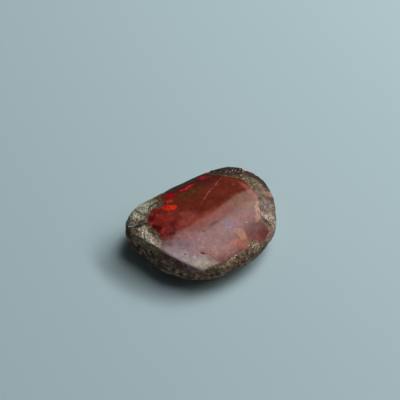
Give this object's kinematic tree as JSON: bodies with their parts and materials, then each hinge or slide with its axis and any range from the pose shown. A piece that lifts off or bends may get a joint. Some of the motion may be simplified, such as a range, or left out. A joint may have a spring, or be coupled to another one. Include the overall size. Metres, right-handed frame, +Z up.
{
  "type": "polished opal nodule",
  "caption": "Flattened rough opal nodule with a flat base and one face ground and polished to a shallow dome.",
  "frame": {"origin": "bottom centre of the stone's box, on the flat base", "axes": "+X along the length towards the blunt end, +Y towards the straight flank, +Z up through the polished face"},
  "size_m": [0.0316, 0.0238, 0.0093],
  "materials": {
    "opal": "polished dark red opal with fire on the domed face, in a rough grey-brown rind"
  },
  "bodies": {
    "root": {"opal": "opal"}
  },
  "joints": []
}
